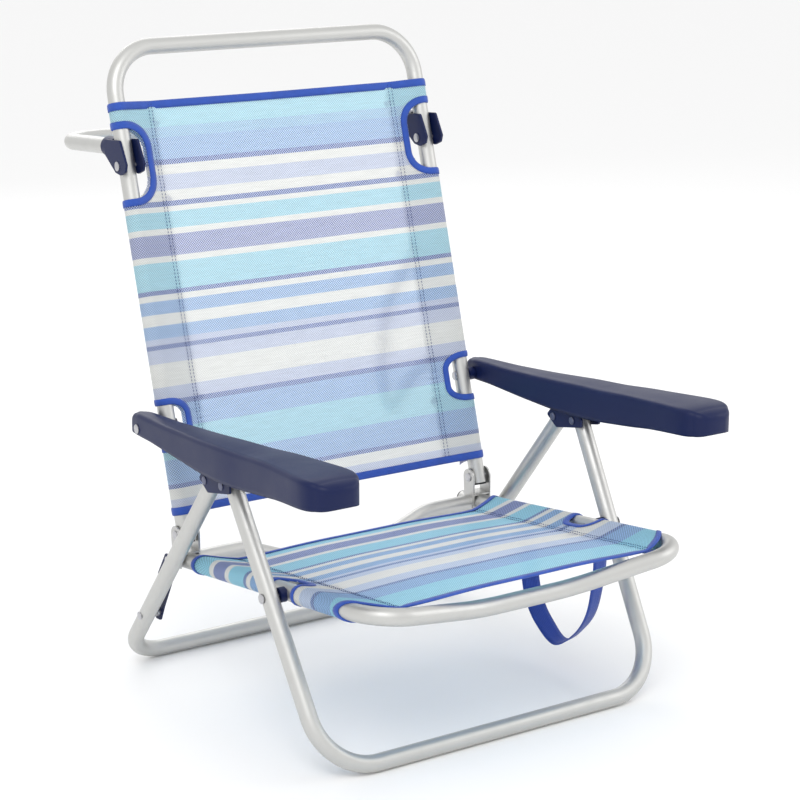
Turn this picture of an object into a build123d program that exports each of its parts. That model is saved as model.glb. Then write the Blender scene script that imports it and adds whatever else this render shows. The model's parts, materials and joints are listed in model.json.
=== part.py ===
from build123d import *
import math
import os

# Folding beach chair: aluminium tube, woven sling seat and back, plastic armrests.
# Millimetres, +Z up, sitter faces -Y, sitter's left is +X, floor is Z = 0.
# Coordinates below are measured from the axis of the front floor bar and
# SHIFT_Y moves the finished parts so that Y = 0 is the middle of the chair's depth.
SHIFT_Y = -317.53

# --- tube -------------------------------------------------------------------
TUBE_R = 11.0
TUBE_WALL = 1.3
RIVET_R = 3.0
RUNNING = 0.06
HEAD_R = 6.2
HEAD_H = 1.8

# --- seat frame -------------------------------------------------------------
RAIL_X = 234.2
SEAT_PIVOT = (114.3, 204.9)
SEAT_SLOPE = 7.05
RAIL_REAR_Y = 408.0
SEAT_FRONT_Y = -81.0
BOW_X = 70.4
BOW_Y = -51.3
BOW_Z = 200.0
SEAT_CORNER_R = 45.0
BOW_R = 255.0
CROSS_Y = 378.0
CROSS_DROP_X = 147.0
CROSS_LOW_X = 59.0
CROSS_LOW_Z = 137.0
CROSS_R = 60.0

# --- back frame -------------------------------------------------------------
BACK_X = 236.0
BACK_HINGE = (378.0, 209.5)
BACK_LEAN = 16.1
BACK_LENGTH = 640.6
BACK_CORNER_R = 62.0
BACK_TAIL = 10.0

# --- legs -------------------------------------------------------------------
FRONT_TOP = (188.0, 330.5)
FRONT_TOP_X = 270.3
FRONT_FOOT_X = 255.2
FRONT_CORNER_R = 75.0
REAR_TOP = (229.5, 327.5)
REAR_FOOT_Y = 490.3
REAR_X = 271.0
REAR_CORNER_R = 56.0
LEG_TAIL = 15.0
LINK_LOWER = (425.0, 90.0)
LINK_UPPER = (397.0, 169.6)
LINK_X = 251.4
LINK_T = 2.0

# --- armrest ----------------------------------------------------------------
ARM_PIVOT = (418.4, 349.0)
ARM_WALL = 2.6
RACK_PIN = (208.5, 349.0)
RACK_PIN_R = 4.0

# --- prop bar (bed support) ---------------------------------------------------
PROP_PIVOT = (511.0, 677.5)
PROP_REACH = 195.0
PROP_OFFSET = 23.0
PROP_TILT = 4.0
PROP_CORNER_R = 45.0

# --- fabric -----------------------------------------------------------------
SLEEVE_R = 11.9
PANEL_T = 1.6
SEAT_CLOTH_REAR = 318.0
SEAT_CLOTH_FRONT = -57.0


def rail_z(y):
    return SEAT_PIVOT[1] - (y - SEAT_PIVOT[0]) * math.tan(math.radians(SEAT_SLOPE))


def back_point(distance, offset=0.0):
    """Point along the back tube axis above the hinge, offset towards the rear."""
    a = math.radians(BACK_LEAN)
    y = BACK_HINGE[0] + distance * math.sin(a) + offset * math.cos(a)
    z = BACK_HINGE[1] + distance * math.cos(a) - offset * math.sin(a)
    return (y, z)


def rod(start, end, radius):
    """Solid cylinder between two points."""
    line = Line(start, end)
    return extrude(Plane(line @ 0, z_dir=line % 0) * Circle(radius), line.length)


def tube(points, radii):
    """Hollow bent tube through the corner points."""
    path = FilletPolyline(*points, radius=radii) if radii else Line(*points)
    ring = Circle(TUBE_R) - Circle(TUBE_R - TUBE_WALL)
    return sweep(Plane(path @ 0, z_dir=path % 0) * ring, path=path)


def tube_core(points, radii, radius):
    """Solid of another radius along the same path."""
    path = FilletPolyline(*points, radius=radii) if radii else Line(*points)
    return sweep(Plane(path @ 0, z_dir=path % 0) * Circle(radius), path=path)


def cross_rod(x0, x1, yz, radius):
    """Cylinder parallel to X at a side-view point."""
    return rod((x0, yz[0], yz[1]), (x1, yz[0], yz[1]), radius)


def side_plate(outline, x0, x1, corner=0.0):
    """Plate cut from a side-view outline, between two X positions."""
    face = make_face(Polyline(*[(0, y, z) for y, z in outline], close=True))
    if corner > 0:
        face = fillet(face.vertices(), corner)
    solid = extrude(face, x1 - x0, dir=(1, 0, 0))
    return Pos(x0, 0, 0) * solid


def rivet(x0, x1, yz, radius=RIVET_R, head0=True, head1=True, head_r=HEAD_R):
    """Shank along X with a low domed head outside each end."""
    lo, hi = min(x0, x1), max(x0, x1)
    solid = cross_rod(lo, hi, yz, radius)
    if head0:
        solid += rivet_head(lo, yz, -1, head_r)
    if head1:
        solid += rivet_head(hi, yz, 1, head_r)
    return solid


def rivet_head(x, yz, way, head_r):
    base = cross_rod(x, x + way * HEAD_H * 0.55, yz, head_r)
    top = Pos(x + way * HEAD_H * 0.55, yz[0], yz[1]) * Rot(0, 90 * way, 0)
    low = (Align.CENTER, Align.CENTER, Align.MIN)
    return base + top * Cone(head_r, head_r * 0.6, HEAD_H * 0.45, align=low)


def both_sides(solid):
    return [solid, mirror(solid, about=Plane.YZ)]


def emit(name, *solids):
    """Write one node, moved to the shared origin."""
    flat = []
    for item in solids:
        flat += item if isinstance(item, list) else [item]
    pieces = []
    for item in flat:
        pieces += list(item.solids())
    moved = [Pos(0, SHIFT_Y, 0) * piece for piece in pieces]
    shape = moved[0] if len(moved) == 1 else Compound(children=moved)
    export_step(shape, "parts/" + name + ".step")
    return shape


# --- seat -------------------------------------------------------------------
def seat_points():
    rear = (RAIL_X, RAIL_REAR_Y, rail_z(RAIL_REAR_Y))
    front = (RAIL_X, SEAT_FRONT_Y, rail_z(SEAT_FRONT_Y))
    bow = (BOW_X, BOW_Y, BOW_Z)
    left = [rear, front, bow]
    return left + [(-x, y, z) for x, y, z in reversed(left)]


def seat_frame():
    frame = tube(seat_points(), [SEAT_CORNER_R, BOW_R, BOW_R, SEAT_CORNER_R])
    for s in (1, -1):
        frame -= cross_rod(s * 215, s * 255, SEAT_PIVOT, RIVET_R)
        frame -= cross_rod(s * 215, s * 255, LINK_UPPER, RIVET_R)
    return frame


def seat_crossbar():
    z = rail_z(CROSS_Y)
    end = RAIL_X - 4.0
    pts = [(end, CROSS_Y, z), (CROSS_DROP_X, CROSS_Y, z), (CROSS_LOW_X, CROSS_Y, CROSS_LOW_Z)]
    pts += [(-x, y, zz) for x, y, zz in reversed(pts)]
    bar = tube(pts, [CROSS_R] * 4)
    for s in (1, -1):
        a = (s * RAIL_X, RAIL_REAR_Y + 1, rail_z(RAIL_REAR_Y + 1))
        b = (s * RAIL_X, 300, rail_z(300))
        bar -= rod(a, b, TUBE_R + 0.01)
    return bar


def rail_caps():
    a = math.radians(SEAT_SLOPE)
    y, z = RAIL_REAR_Y, rail_z(RAIL_REAR_Y)
    body = rod((RAIL_X, y, z), (RAIL_X, y + 3 * math.cos(a), z - 3 * math.sin(a)), TUBE_R)
    body += rod((RAIL_X, y - 3.5 * math.cos(a), z + 3.5 * math.sin(a)), (RAIL_X, y, z), TUBE_R - TUBE_WALL)
    rim = body.edges().filter_by(GeomType.CIRCLE).sort_by(Axis.Y)[-1]
    return both_sides(fillet(rim, 1.0))


def hinge_bracket(side):
    """Sheet bracket round the rail and crossbar with two ears for the back hinge."""
    base_z = rail_z(CROSS_Y)
    hy, hz = BACK_HINGE
    ears = None
    for x0, x1 in ((RAIL_X - 13.6, RAIL_X - 11.2), (RAIL_X + 14.2, RAIL_X + 16.4)):
        ear = side_plate([(hy - 12, base_z - 6), (hy + 9, base_z - 6), (hy + 12, hz), (hy - 12, hz)], x0, x1)
        ear += cross_rod(x0, x1, (hy, hz), 12)
        ears = ear if ears is None else ears + ear
    saddle = side_plate(
        [(hy - 12, base_z + 11.6), (hy + 13, base_z + 11.4), (hy + 13, base_z + 13.6), (hy - 12, base_z + 14.0)],
        RAIL_X - 13.6,
        RAIL_X + 16.4,
    )
    body = ears + saddle
    body -= cross_rod(RAIL_X - 20, RAIL_X + 20, (hy, hz), RIVET_R + RUNNING)
    body -= rod((RAIL_X, RAIL_REAR_Y + 6, rail_z(RAIL_REAR_Y + 6)), (RAIL_X, 330, rail_z(330)), TUBE_R + 0.02)
    body -= rod((RAIL_X - 9, CROSS_Y, base_z), (RAIL_X - 30, CROSS_Y, base_z), TUBE_R + 0.02)
    return body if side > 0 else mirror(body, about=Plane.YZ)


def cloth_panel(width, y0, z0, y1, z1, thickness):
    """Flat sheet between two side-view points."""
    dy, dz = y1 - y0, z1 - z0
    length = math.hypot(dy, dz)
    tilt = math.degrees(math.atan2(dz, dy))
    sheet = Box(width, length, thickness)
    return Pos(0, (y0 + y1) / 2, (z0 + z1) / 2) * Rot(tilt, 0, 0) * sheet


def rail_rod(side, y0, y1, radius):
    """Cylinder along a seat rail between two Y positions."""
    return rod((side * RAIL_X, y0, rail_z(y0)), (side * RAIL_X, y1, rail_z(y1)), radius)


def seat_fabric():
    """Sling panel between the rails, open at the leg pivots and the front corners."""
    y0, y1 = SEAT_CLOTH_FRONT, SEAT_CLOTH_REAR
    body = cloth_panel(2 * RAIL_X, y0, rail_z(y0), y1, rail_z(y1), PANEL_T)
    for s in (1, -1):
        body -= rail_rod(s, -70.0, 360.0, SLEEVE_R)
        body -= Pos(s * (RAIL_X - 6), 121.0, rail_z(121.0)) * Rot(-SEAT_SLOPE, 0, 0) * Box(44, 50, 30)
        body -= Pos(s * (RAIL_X - 2), -45.0, rail_z(-45.0)) * Rot(-SEAT_SLOPE, 0, 0) * Box(54, 38, 30)
    return largest(body)


def seat_sleeves():
    """Cloth sleeves round the rails, in front of and behind the leg pivots."""
    rings = []
    for y0, y1 in ((-26.0, 96.0), (146.0, 338.0)):
        ring = rail_rod(1, y0, y1, SLEEVE_R) - rail_rod(1, y0 - 5, y1 + 5, TUBE_R)
        rings += both_sides(ring)
    return rings


def largest(shape):
    return sorted(shape.solids(), key=lambda s: s.volume)[-1]


def leg_spacers():
    x0 = RAIL_X + TUBE_R + 0.0
    ring = cross_rod(x0 - 1.5, x0 + 7.6, SEAT_PIVOT, 9.5) - cross_rod(x0 - 3, x0 + 9, SEAT_PIVOT, RIVET_R)
    a = (RAIL_X, 0, rail_z(0))
    b = (RAIL_X, 250, rail_z(250))
    ring -= rod(a, b, TUBE_R)
    return both_sides(ring)


def seat_pivot_rivets():
    inner = RAIL_X - TUBE_R
    outer = front_x(SEAT_PIVOT[1]) + TUBE_R + 0.5
    return both_sides(rivet(inner, outer, SEAT_PIVOT))


STRAP_W = 25.0
STRAP_T = 1.6
SEAT_STRAP_PATH = [(52, 196), (60, 160), (76, 103), (100, 70), (140, 39)]
SEAT_STRAP_PATH += [(176, 58), (200, 80), (211, 112), (212, 178)]
BACK_STRAP_PATH = [(196, 334), (166, 300), (136, 262), (116, 205)]
BACK_STRAP_PATH += [(108, 150), (116, 116), (146, 146), (196, 180)]


def ribbon(points, width, plane, depth):
    """Strip of even width along a chain of points, pulled out both ways by half its depth."""
    strip = None
    for p, q in zip(points, points[1:]):
        length = math.dist(p, q)
        angle = math.degrees(math.atan2(q[1] - p[1], q[0] - p[0]))
        piece = Pos((p[0] + q[0]) / 2, (p[1] + q[1]) / 2) * Rot(0, 0, angle) * Rectangle(length, width)
        joint = Pos(q[0], q[1]) * Circle(width / 2)
        strip = piece + joint if strip is None else strip + piece + joint
    return extrude(plane * strip, depth / 2, both=True)


def seat_strap():
    """Webbing loop hanging from the left rail sleeve, its width across the chair."""
    plane = Plane(origin=(206, 0, 0), x_dir=(0, 1, 0), z_dir=(1, 0, 0))
    return ribbon(SEAT_STRAP_PATH, STRAP_T, plane, STRAP_W)


# --- back -------------------------------------------------------------------
def back_points():
    low = back_point(-BACK_TAIL)
    top = back_point(BACK_LENGTH)
    left = [(BACK_X, low[0], low[1]), (BACK_X, top[0], top[1])]
    return left + [(-x, y, z) for x, y, z in reversed(left)]


def back_frame():
    frame = tube(back_points(), [BACK_CORNER_R] * 2)
    for s in (1, -1):
        frame -= cross_rod(s * 215, s * 255, BACK_HINGE, RIVET_R + RUNNING)
        frame -= cross_rod(s * 215, s * 255, ARM_PIVOT, RIVET_R + RUNNING)
        frame -= cross_rod(s * 215, s * 255, PROP_PIVOT, RIVET_R)
    return frame


def back_caps():
    low = back_point(-BACK_TAIL)
    tip = back_point(-BACK_TAIL - 2.5)
    inside = back_point(-BACK_TAIL + 3.0)
    cap = rod((BACK_X, low[0], low[1]), (BACK_X, tip[0], tip[1]), TUBE_R)
    cap += rod((BACK_X, inside[0], inside[1]), (BACK_X, low[0], low[1]), TUBE_R - TUBE_WALL)
    return both_sides(cap)


def hinge_pins():
    return both_sides(rivet(RAIL_X - 13.7, RAIL_X + 16.5, BACK_HINGE))


def along_back(z):
    """Distance above the hinge of the axis point at height z."""
    return (z - BACK_HINGE[1]) / math.cos(math.radians(BACK_LEAN))


def back_box(x, z0, z1, width, depth):
    """Box centred on the back plane between two heights."""
    d0, d1 = along_back(z0), along_back(z1)
    y, z = back_point((d0 + d1) / 2)
    return Pos(x, y, z) * Rot(-BACK_LEAN, 0, 0) * Box(width, depth, d1 - d0)


BACK_CLOTH_TOP = 754.6
BACK_CLOTH_LOW = 234.6
UPPER_CUT = (633.0, 724.0)
LOWER_CUT = (322.0, 373.0)


def back_fabric():
    """Sling panel between the back tubes, cut out at the pivots."""
    body = back_box(0, BACK_CLOTH_LOW, BACK_CLOTH_TOP, 2 * BACK_X, PANEL_T)
    a, b = back_point(-20), back_point(along_back(800))
    for s in (1, -1):
        body -= rod((s * BACK_X, a[0], a[1]), (s * BACK_X, b[0], b[1]), SLEEVE_R)
        body -= back_box(s * 234, LOWER_CUT[0], LOWER_CUT[1], 44, 30)
        body -= back_box(s * 234, UPPER_CUT[0], UPPER_CUT[1], 56, 30)
    return largest(body)


def back_sleeves():
    """Cloth sleeves round the back tubes, interrupted at both cut-outs."""
    rings = []
    a, b = back_point(-20), back_point(along_back(800))
    core = rod((BACK_X, a[0], a[1]), (BACK_X, b[0], b[1]), TUBE_R)
    for z0, z1 in ((236.0, LOWER_CUT[0]), (LOWER_CUT[1], UPPER_CUT[0]), (UPPER_CUT[1], 753.0)):
        c, d = back_point(along_back(z0)), back_point(along_back(z1))
        rings += both_sides(rod((BACK_X, c[0], c[1]), (BACK_X, d[0], d[1]), SLEEVE_R) - core)
    return rings


def back_strap():
    """Webbing loop lying behind the back panel, both ends under the left sleeve."""
    y, z = back_point(0, 9.0)
    a = math.radians(BACK_LEAN)
    plane = Plane(origin=(0, y, z), x_dir=(1, 0, 0), z_dir=(0, -math.cos(a), math.sin(a)))
    return ribbon(BACK_STRAP_PATH, STRAP_W * 0.72, plane, STRAP_T)


def prop_arm_points():
    a = math.radians(PROP_TILT)
    py, pz = PROP_PIVOT

    def at(along, up):
        return (py + along * math.cos(a) + up * math.sin(a), pz - along * math.sin(a) + up * math.cos(a))

    start = at(36, PROP_OFFSET)
    end = at(PROP_REACH, PROP_OFFSET)
    left = [(BACK_X, start[0], start[1]), (BACK_X, end[0], end[1])]
    return left + [(-x, y, z) for x, y, z in reversed(left)]


def prop_tube():
    return tube(prop_arm_points(), [PROP_CORNER_R] * 2)


def prop_clevis(side):
    """Two plates that carry the prop bar arm and turn on the back tube."""
    outline = [(547.6, 708.5), (545.9, 688.5), (517.0, 668.5), (503.0, 666.5), (490.1, 672.0)]
    outline += [(487.2, 682.0), (504.3, 711.7)]
    gap = 11.3
    body = side_plate(outline, BACK_X + gap, BACK_X + gap + 3.2, 4)
    body += side_plate(outline, BACK_X - gap - 3.2, BACK_X - gap, 4)
    start = prop_arm_points()[0]
    a = math.radians(PROP_TILT)
    tip = (BACK_X, start[1] + 12 * math.cos(a), start[2] - 12 * math.sin(a))
    root = (BACK_X, start[1] - 14 * math.cos(a), start[2] + 14 * math.sin(a))
    block = rod(root, tip, 13.4)
    keep = Pos(BACK_X, start[1], start[2]) * Box(2 * gap + 6.4, 80, 60)
    body += block & keep
    body -= rod((BACK_X, start[1], start[2]), (BACK_X, start[1] + 60, start[2] - 60 * math.tan(a)), TUBE_R)
    body -= cross_rod(BACK_X - 30, BACK_X + 30, PROP_PIVOT, RIVET_R + RUNNING)
    return body if side > 0 else mirror(body, about=Plane.YZ)


def prop_rivets():
    return both_sides(rivet(BACK_X - 14.6, BACK_X + 14.6, PROP_PIVOT))


# --- armrests ---------------------------------------------------------------
ARM_TOP = [(438, 356), (436, 362), (428, 367), (400, 370.5), (344, 372.2), (302, 376), (226, 380)]
ARM_TOP += [(182, 385), (124, 388.5), (72, 394), (0, 399), (-36, 401), (-62, 399.5), (-72, 394)]
ARM_LOW = [(-75, 386), (-73, 371), (-62, 366.5), (-10, 364.5), (35, 355), (47, 354), (121, 342.5)]
ARM_LOW += [(144, 342), (230, 338), (377, 342.5), (399, 341), (428, 340.5), (437, 346)]
ARM_OUT = [(438, 279), (400, 282), (344, 286), (282, 290), (226, 295), (182, 298), (121, 300), (47, 305)]
ARM_OUT += [(0, 311), (-45, 316), (-66, 308), (-75, 290)]
ARM_IN = [(-75, 266), (-68, 250), (-50, 242), (0, 243), (72, 245), (182, 248.5), (302, 252), (400, 256), (438, 256.5)]


def arm_plan(inset):
    """Top-view outline, moved in by the wall."""
    face = make_face(Polyline(*[(x, y, 0) for y, x in ARM_OUT + ARM_IN], close=True))
    return offset(face, -inset) if inset else face


def arm_profile():
    pts = [(0, y, z) for y, z in ARM_TOP + ARM_LOW]
    return make_face(Polyline(*pts, close=True))


def armrest(side):
    plan = extrude(Pos(0, 0, 300) * arm_plan(0), 130)
    profile = Pos(230, 0, 0) * extrude(arm_profile(), 100, dir=(1, 0, 0))
    body = largest(plan & profile)
    inner_top = [(y, z - ARM_WALL - 0.8) for y, z in ARM_TOP if -40 < y < 400]
    low = [(inner_top[-1][0], 320), (inner_top[0][0], 320)]
    hollow_profile = Pos(230, 0, 0) * extrude(
        make_face(Polyline(*[(0, y, z) for y, z in inner_top + low], close=True)), 100, dir=(1, 0, 0)
    )
    hollow_plan = extrude(Pos(0, 0, 300) * arm_plan(ARM_WALL), 130)
    body -= hollow_plan & hollow_profile
    body -= cross_rod(240, 300, ARM_PIVOT, RIVET_R + RUNNING)
    body = largest(body)
    return body if side > 0 else mirror(body, about=Plane.YZ)


def arm_rack(side):
    """Toothed strip under the top skin."""
    y0, y1, pitch = 70.0, 210.0, 20.0
    pts = []
    y = y0
    while y < y1 - 1:
        pts += [(y, arm_skin(y) - 5.0), (y + pitch * 0.45, arm_skin(y + pitch * 0.45) - 7.5)]
        pts += [(y + pitch * 0.6, arm_skin(y + pitch * 0.6) - 5.0)]
        y += pitch
    pts += [(y1, arm_skin(y1) - 5.0), (y1, arm_skin(y1) - 3.6), (124, arm_skin(124) - 3.6), (y0, arm_skin(y0) - 3.6)]
    rack = side_plate(pts, 262, 280)
    return rack if side > 0 else mirror(rack, about=Plane.YZ)


def arm_skin(y):
    """Height of the armrest's top surface."""
    for (ya, za), (yb, zb) in zip(ARM_TOP, ARM_TOP[1:]):
        if yb <= y <= ya:
            return za + (zb - za) * (ya - y) / (ya - yb)
    return ARM_TOP[-1][1]


def arm_rivets():
    return both_sides(rivet(BACK_X - TUBE_R - 0.4, 281.4, ARM_PIVOT))


def arm_spacers():
    x0 = BACK_X + TUBE_R
    ring = cross_rod(x0 - 1.5, x0 + 8.2, ARM_PIVOT, 9.0) - cross_rod(x0 - 3, x0 + 12, ARM_PIVOT, RIVET_R + RUNNING)
    a, b = back_point(60), back_point(240)
    ring -= rod((BACK_X, a[0], a[1]), (BACK_X, b[0], b[1]), TUBE_R)
    return both_sides(ring)


# --- legs -------------------------------------------------------------------
def front_x(z):
    """X of the splayed front leg axis at a height."""
    t = (z - TUBE_R) / (FRONT_TOP[1] - TUBE_R)
    return FRONT_FOOT_X + (FRONT_TOP_X - FRONT_FOOT_X) * t


def front_direction():
    dy, dz = FRONT_TOP[0], FRONT_TOP[1] - TUBE_R
    length = math.hypot(dy, dz)
    return dy / length, dz / length


def front_points():
    dy, dz = front_direction()
    y, z = FRONT_TOP[0] + LEG_TAIL * dy, FRONT_TOP[1] + LEG_TAIL * dz
    left = [(front_x(z), y, z), (FRONT_FOOT_X, 0, TUBE_R)]
    return left + [(-x, yy, zz) for x, yy, zz in reversed(left)]


def rear_direction():
    dy, dz = REAR_TOP[0] - REAR_FOOT_Y, REAR_TOP[1] - TUBE_R
    length = math.hypot(dy, dz)
    return dy / length, dz / length


def rear_points():
    dy, dz = rear_direction()
    y, z = REAR_TOP[0] + LEG_TAIL * dy, REAR_TOP[1] + LEG_TAIL * dz
    left = [(REAR_X, y, z), (REAR_X, REAR_FOOT_Y, TUBE_R)]
    return left + [(-x, yy, zz) for x, yy, zz in reversed(left)]


def front_leg():
    leg = tube(front_points(), [FRONT_CORNER_R] * 2)
    for s in (1, -1):
        leg -= cross_rod(s * 240, s * 290, SEAT_PIVOT, RIVET_R + RUNNING)
        leg -= cross_rod(s * 240, s * 300, FRONT_TOP, RIVET_R)
    return leg


def rear_leg():
    leg = tube(rear_points(), [REAR_CORNER_R] * 2)
    for s in (1, -1):
        leg -= cross_rod(s * 240, s * 300, REAR_TOP, RIVET_R + RUNNING)
        leg -= cross_rod(s * 240, s * 300, LINK_LOWER, RIVET_R)
    return leg


def leg_caps(points):
    """Plug with a flat head in each open upper end of a leg."""
    end = Vector(*points[0])
    way = (end - Vector(*points[1])).normalized()
    cap = rod(end, end + way * 2.5, TUBE_R)
    cap += rod(end - way * 3, end, TUBE_R - TUBE_WALL)
    return both_sides(cap)


def bracket_plates(side):
    outline = [(243.5, 328.0), (222, 313.8), (168, 325), (168, 336), (198, 355.5), (219, 355.5)]
    body = None
    for x0, x1 in ((254.6, 257.4), (284.4, 287.2)):
        plate = side_plate(outline, x0, x1, 3)
        plate -= cross_rod(x0 - 1, x1 + 1, FRONT_TOP, RIVET_R + RUNNING)
        plate -= cross_rod(x0 - 1, x1 + 1, REAR_TOP, RIVET_R)
        plate -= cross_rod(x0 - 1, x1 + 1, RACK_PIN, RACK_PIN_R)
        body = [plate] if body is None else body + [plate]
    return body if side > 0 else [mirror(p, about=Plane.YZ) for p in body]


def rack_pins():
    return both_sides(cross_rod(254.0, 287.8, RACK_PIN, RACK_PIN_R))


def front_top_rivets():
    return both_sides(rivet(254.5, 287.3, FRONT_TOP, head_r=5.2))


def rear_top_rivets():
    return both_sides(rivet(254.6, 287.2, REAR_TOP, head_r=5.2))


def link_plate(side):
    outline = [(402, 179), (424, 146), (438, 90), (435, 78), (421, 79), (410, 102), (384, 148), (386, 174)]
    x0 = LINK_X
    plate = side_plate(outline, x0, x0 + LINK_T, 4)
    plate -= cross_rod(x0 - 1, x0 + 5, LINK_UPPER, RIVET_R + RUNNING)
    plate -= cross_rod(x0 - 1, x0 + 5, LINK_LOWER, RIVET_R)
    return plate if side > 0 else mirror(plate, about=Plane.YZ)


def link_upper_rivets():
    solid = rivet(RAIL_X - TUBE_R, LINK_X + LINK_T + 0.1, LINK_UPPER, head_r=5.6)
    collar = cross_rod(RAIL_X + TUBE_R - 1.5, LINK_X - 0.1, LINK_UPPER, 6.0)
    collar -= cross_rod(240, 256, LINK_UPPER, RIVET_R)
    collar -= rod((RAIL_X, 350, rail_z(350)), (RAIL_X, 430, rail_z(430)), TUBE_R)
    return both_sides(solid + collar)


def link_lower_studs():
    stud = rivet(LINK_X, LINK_X + LINK_T, LINK_LOWER, head1=False, head_r=5.5)
    stud += cross_rod(LINK_X + LINK_T, 258.0, LINK_LOWER, 5.0)
    return both_sides(stud)


def leg_studs():
    return both_sides(rivet(REAR_X - TUBE_R, REAR_X + TUBE_R, LINK_LOWER, head_r=5.5))


def main():
    os.makedirs("parts", exist_ok=True)
    emit("seat_frame", seat_frame())
    emit("seat_crossbar", seat_crossbar())
    emit("seat_rail_caps", rail_caps())
    emit("hinge_bracket_left", hinge_bracket(1))
    emit("hinge_bracket_right", hinge_bracket(-1))
    emit("seat_fabric", seat_fabric())
    emit("seat_sleeves", seat_sleeves())
    emit("leg_spacers", leg_spacers())
    emit("seat_pivot_rivets", seat_pivot_rivets())
    emit("link_upper_rivets", link_upper_rivets())
    emit("hinge_pins", hinge_pins())
    emit("back_frame", back_frame())
    emit("back_frame_caps", back_caps())
    emit("back_fabric", back_fabric())
    emit("back_sleeves", back_sleeves())
    emit("back_strap", back_strap())
    emit("prop_tube", prop_tube())
    emit("prop_clevis_left", prop_clevis(1))
    emit("prop_clevis_right", prop_clevis(-1))
    emit("prop_rivets", prop_rivets())
    emit("arm_pivot_rivets", arm_rivets())
    emit("arm_spacers", arm_spacers())
    emit("armrest_left", armrest(1))
    emit("armrest_right", armrest(-1))
    emit("armrest_rack_left", arm_rack(1))
    emit("armrest_rack_right", arm_rack(-1))
    emit("front_leg", front_leg())
    emit("front_leg_caps", leg_caps(front_points()))
    emit("leg_bracket_left", bracket_plates(1))
    emit("leg_bracket_right", bracket_plates(-1))
    emit("rack_pins", rack_pins())
    emit("front_top_rivets", front_top_rivets())
    emit("rear_top_rivets", rear_top_rivets())
    emit("rear_leg", rear_leg())
    emit("rear_leg_caps", leg_caps(rear_points()))
    emit("link_plate_left", link_plate(1))
    emit("link_plate_right", link_plate(-1))
    emit("link_lower_studs", link_lower_studs())
    emit("leg_studs", leg_studs())
    emit("seat_strap", seat_strap())


main()
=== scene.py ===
import math

import bmesh
import bpy
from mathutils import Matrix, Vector
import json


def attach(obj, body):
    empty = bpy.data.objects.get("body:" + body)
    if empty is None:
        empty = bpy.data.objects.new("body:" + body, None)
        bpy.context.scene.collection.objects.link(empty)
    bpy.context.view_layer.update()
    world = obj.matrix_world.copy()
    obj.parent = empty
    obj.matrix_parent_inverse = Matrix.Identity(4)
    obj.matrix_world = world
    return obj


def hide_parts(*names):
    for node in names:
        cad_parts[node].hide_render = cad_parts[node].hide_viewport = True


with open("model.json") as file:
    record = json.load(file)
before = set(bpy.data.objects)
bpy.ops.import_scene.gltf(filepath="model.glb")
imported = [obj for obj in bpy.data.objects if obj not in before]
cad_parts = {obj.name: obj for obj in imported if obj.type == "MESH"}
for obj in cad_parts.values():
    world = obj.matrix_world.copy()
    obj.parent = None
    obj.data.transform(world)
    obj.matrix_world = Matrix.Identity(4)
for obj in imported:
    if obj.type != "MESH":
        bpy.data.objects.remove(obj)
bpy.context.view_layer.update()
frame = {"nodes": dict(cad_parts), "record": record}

SHIFT_Y = -0.31753              # front floor bar to the frame's origin
RAIL_X = 0.2342                 # seat rail axis
BACK_X = 0.236                  # back tube axis
SLOPE = math.radians(7.05)      # the seat falls towards the rear
LEAN = math.radians(16.1)       # the back leans from the vertical
HINGE_Y, HINGE_Z = 0.378, 0.2095
LEG_PIVOT_Y, LEG_PIVOT_Z = 0.1143, 0.2049


def srgb(r, g, b):
    """Displayed 0-255 colour to linear."""
    out = []
    for c in (r, g, b):
        c = c / 255.0
        out.append(c / 12.92 if c <= 0.04045 else ((c + 0.055) / 1.055) ** 2.4)
    return out


# --- frames of reference ------------------------------------------------------
def back_at(x, d, off=0.0):
    """Point on the back plane: d above the hinge, off behind the plane."""
    y = HINGE_Y + SHIFT_Y + d * math.sin(LEAN) + off * math.cos(LEAN)
    z = HINGE_Z + d * math.cos(LEAN) - off * math.sin(LEAN)
    return Vector((x, y, z))


def seat_at(x, y, off=0.0):
    """Point on the seat plane: y from the front floor bar, off above the rail axes."""
    z = LEG_PIVOT_Z - (y - LEG_PIVOT_Y) * math.tan(SLOPE)
    return Vector((x, y + SHIFT_Y + off * math.sin(SLOPE), z + off * math.cos(SLOPE)))


def side(x, y, z):
    """Point in the side view, y from the front floor bar."""
    return Vector((x, y + SHIFT_Y, z))


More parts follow.
